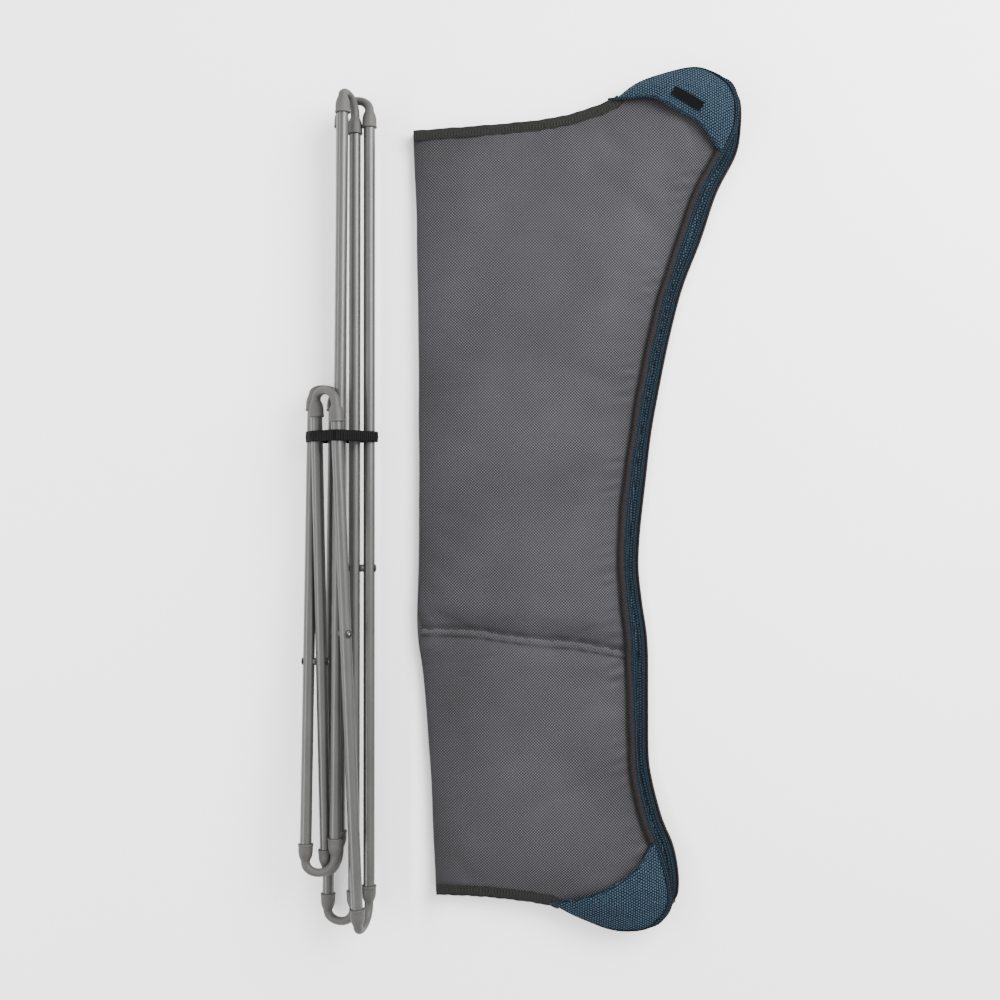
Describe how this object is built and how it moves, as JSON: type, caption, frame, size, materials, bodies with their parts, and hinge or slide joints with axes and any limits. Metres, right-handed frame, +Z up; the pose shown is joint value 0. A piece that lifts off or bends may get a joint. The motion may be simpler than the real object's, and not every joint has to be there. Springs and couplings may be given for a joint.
{
  "type": "folding camp chair",
  "caption": "Folding camp chair taken apart for storage: a folded steel frame of crossed tubes with flexible corner connectors, strapped, beside its padded seat cover folded in half.",
  "frame": {"origin": "centre of the bounding box, on the ground", "axes": "+Y along the folded tubes towards the top of the chair, +Z up from the ground, +X from the frame towards the cover"},
  "size_m": [0.6156, 1.2132, 0.0959],
  "materials": {
    "tube_steel": "grey powder coat, slightly glossy",
    "connector_plastic": "flexible moulded plastic, matte grey",
    "rivet_steel": "black",
    "spacer_nylon": "black nylon",
    "strap_webbing": "black hook-and-loop webbing",
    "underside_fabric": "grey heathered woven polyester",
    "padding_foam": "soft foam sheet inside the cover",
    "mesh_fabric": "blue spacer mesh",
    "binding_tape": "grey-brown woven tape",
    "tag_fabric": "black, blank"
  },
  "bodies": {
    "cover_far": {"underside_panel_far": "underside_fabric", "padding_far": "padding_foam", "mesh_top_far": "mesh_fabric", "side_binding_far": "binding_tape", "top_hem_far": "binding_tape", "bottom_hem_far": "binding_tape", "back_pocket_far": "mesh_fabric", "front_pocket_far": "mesh_fabric"},
    "cover_near": {"underside_panel_near": "underside_fabric", "padding_near": "padding_foam", "mesh_top_near": "mesh_fabric", "side_binding_near": "binding_tape", "top_hem_near": "binding_tape", "bottom_hem_near": "binding_tape", "back_pocket_near": "mesh_fabric", "front_pocket_near": "mesh_fabric", "blank_tag": "tag_fabric"},
    "back_outer": {"back_tube_outer": "tube_steel", "connector_back_top_right_a": "connector_plastic", "connector_back_bottom_left_a": "connector_plastic"},
    "back_inner": {"back_tube_inner": "tube_steel", "rivet_back": "rivet_steel", "spacer_back": "spacer_nylon", "strap": "strap_webbing", "strap_end": "strap_webbing", "connector_back_top_left_a": "connector_plastic", "connector_back_bottom_right_a": "connector_plastic"},
    "left_long": {"left_tube_long": "tube_steel", "rivet_left": "rivet_steel", "spacer_left": "spacer_nylon", "connector_back_top_left_b": "connector_plastic", "connector_front_bottom_left_a": "connector_plastic"},
    "left_short": {"left_tube_short": "tube_steel", "connector_front_top_left_a": "connector_plastic"},
    "right_long": {"right_tube_long": "tube_steel", "rivet_right": "rivet_steel", "spacer_right": "spacer_nylon", "connector_back_top_right_b": "connector_plastic", "connector_front_bottom_right_a": "connector_plastic"},
    "right_short": {"right_tube_short": "tube_steel", "connector_front_top_right_a": "connector_plastic"},
    "front_outer": {"front_tube_outer": "tube_steel", "rivet_front": "rivet_steel", "spacer_front": "spacer_nylon", "connector_front_top_right_b": "connector_plastic"},
    "front_inner": {"front_tube_inner": "tube_steel"},
    "socket_front_top_left": {"connector_front_top_left_b": "connector_plastic"},
    "socket_front_bottom_left": {"connector_front_bottom_left_b": "connector_plastic"},
    "socket_front_bottom_right": {"connector_front_bottom_right_b": "connector_plastic"},
    "socket_back_bottom_left": {"connector_back_bottom_left_b": "connector_plastic"},
    "socket_back_bottom_right": {"connector_back_bottom_right_b": "connector_plastic"}
  },
  "joints": [
    {"name": "cover_fold", "type": "hinge", "parent": "cover_far", "child": "cover_near", "pos_m": [-0.15203, 0.0286, 0.0105], "axis": [0.008, -1, 0], "range_deg": [0, 105]},
    {"name": "frame_stand", "type": "hinge", "parent": "cover_far", "child": "back_inner", "pos_m": [-0.39435, -0.59045, 0.01968], "axis": [0.6401, -0.6641, -0.3862], "range_deg": [0, 142.83]},
    {"name": "frame_unfold", "type": "hinge", "parent": "back_inner", "child": "back_outer", "pos_m": [-0.22439, -0.0954, 0.0382], "axis": [-0.9997, 0.0012, 0.0231], "range_deg": [0, 63], "deforming": ["connector_back_bottom_left_a", "connector_back_bottom_left_b", "connector_back_bottom_right_a", "connector_back_bottom_right_b", "connector_back_top_left_a", "connector_back_top_left_b", "connector_back_top_right_a", "connector_back_top_right_b", "connector_front_bottom_left_a", "connector_front_bottom_left_b", "connector_front_bottom_right_a", "connector_front_bottom_right_b", "connector_front_top_left_a", "connector_front_top_left_b", "connector_front_top_right_a", "connector_front_top_right_b", "strap", "strap_end"]},
    {"name": "corner_back_top_left", "type": "hinge", "parent": "back_inner", "child": "left_long", "pos_m": [-0.23513, 0.54068, 0.05039], "axis": [-0.5234, -0.8364, -0.1626], "range_deg": [0, 57.13]},
    {"name": "left_scissor", "type": "hinge", "parent": "left_long", "child": "left_short", "pos_m": [-0.24795, -0.1814, 0.07431], "axis": [0.6081, 0.0076, 0.7938], "range_deg": [0, 62.59]},
    {"name": "corner_back_top_right", "type": "hinge", "parent": "back_outer", "child": "right_long", "pos_m": [-0.23607, 0.54626, 0.02807], "axis": [0.387, -0.6258, -0.6772], "range_deg": [0, 36.05]},
    {"name": "right_scissor", "type": "hinge", "parent": "right_long", "child": "right_short", "pos_m": [-0.26275, -0.2004, 0.02033], "axis": [0.7028, -0.0031, 0.7114], "range_deg": [0, 67.74]},
    {"name": "corner_front_top_right", "type": "hinge", "parent": "right_short", "child": "front_outer", "pos_m": [-0.28886, 0.13461, 0.01857], "axis": [-0.6159, 0.6843, -0.3904], "range_deg": [0, 71.72]},
    {"name": "front_scissor", "type": "hinge", "parent": "front_outer", "child": "front_inner", "pos_m": [-0.28673, -0.2224, 0.05101], "axis": [0.9711, 0.0119, 0.2384], "range_deg": [0, 64.59]},
    {"name": "corner_front_top_left", "type": "hinge", "parent": "left_short", "child": "socket_front_top_left", "pos_m": [-0.27129, 0.13658, 0.06739], "axis": [0.3456, 0.7456, -0.5698], "range_deg": [0, 68.62]},
    {"name": "corner_front_bottom_left", "type": "hinge", "parent": "left_long", "child": "socket_front_bottom_left", "pos_m": [-0.27669, -0.49605, 0.06534], "axis": [-0.4426, 0.6636, 0.6031], "range_deg": [0, 70.81]},
    {"name": "corner_front_bottom_right", "type": "hinge", "parent": "right_long", "child": "socket_front_bottom_right", "pos_m": [-0.25518, -0.50998, 0.04083], "axis": [0.641, 0.6801, 0.3559], "range_deg": [0, 73.73]},
    {"name": "corner_back_bottom_left", "type": "hinge", "parent": "back_outer", "child": "socket_back_bottom_left", "pos_m": [-0.2233, -0.57693, 0.05546], "axis": [0.5944, -0.7242, 0.3495], "range_deg": [0, 74.98]},
    {"name": "corner_back_bottom_right", "type": "hinge", "parent": "back_inner", "child": "socket_back_bottom_right", "pos_m": [-0.25256, -0.56561, 0.03107], "axis": [-0.2166, -0.2321, 0.9483], "range_deg": [0, 49.88]}
  ],
  "couplings": [
    {"joint": "frame_stand", "follows": "frame_unfold", "ratio": 2.267},
    {"joint": "corner_back_top_left", "follows": "frame_unfold", "ratio": 0.90667},
    {"joint": "left_scissor", "follows": "frame_unfold", "ratio": 0.99337},
    {"joint": "corner_back_top_right", "follows": "frame_unfold", "ratio": 0.57199},
    {"joint": "right_scissor", "follows": "frame_unfold", "ratio": 1.0751},
    {"joint": "corner_front_top_right", "follows": "frame_unfold", "ratio": 1.1383},
    {"joint": "front_scissor", "follows": "frame_unfold", "ratio": 1.0251},
    {"joint": "corner_front_top_left", "follows": "frame_unfold", "ratio": 1.0891},
    {"joint": "corner_front_bottom_left", "follows": "frame_unfold", "ratio": 1.1239},
    {"joint": "corner_front_bottom_right", "follows": "frame_unfold", "ratio": 1.1702},
    {"joint": "corner_back_bottom_left", "follows": "frame_unfold", "ratio": 1.19},
    {"joint": "corner_back_bottom_right", "follows": "frame_unfold", "ratio": 0.79164}
  ]
}
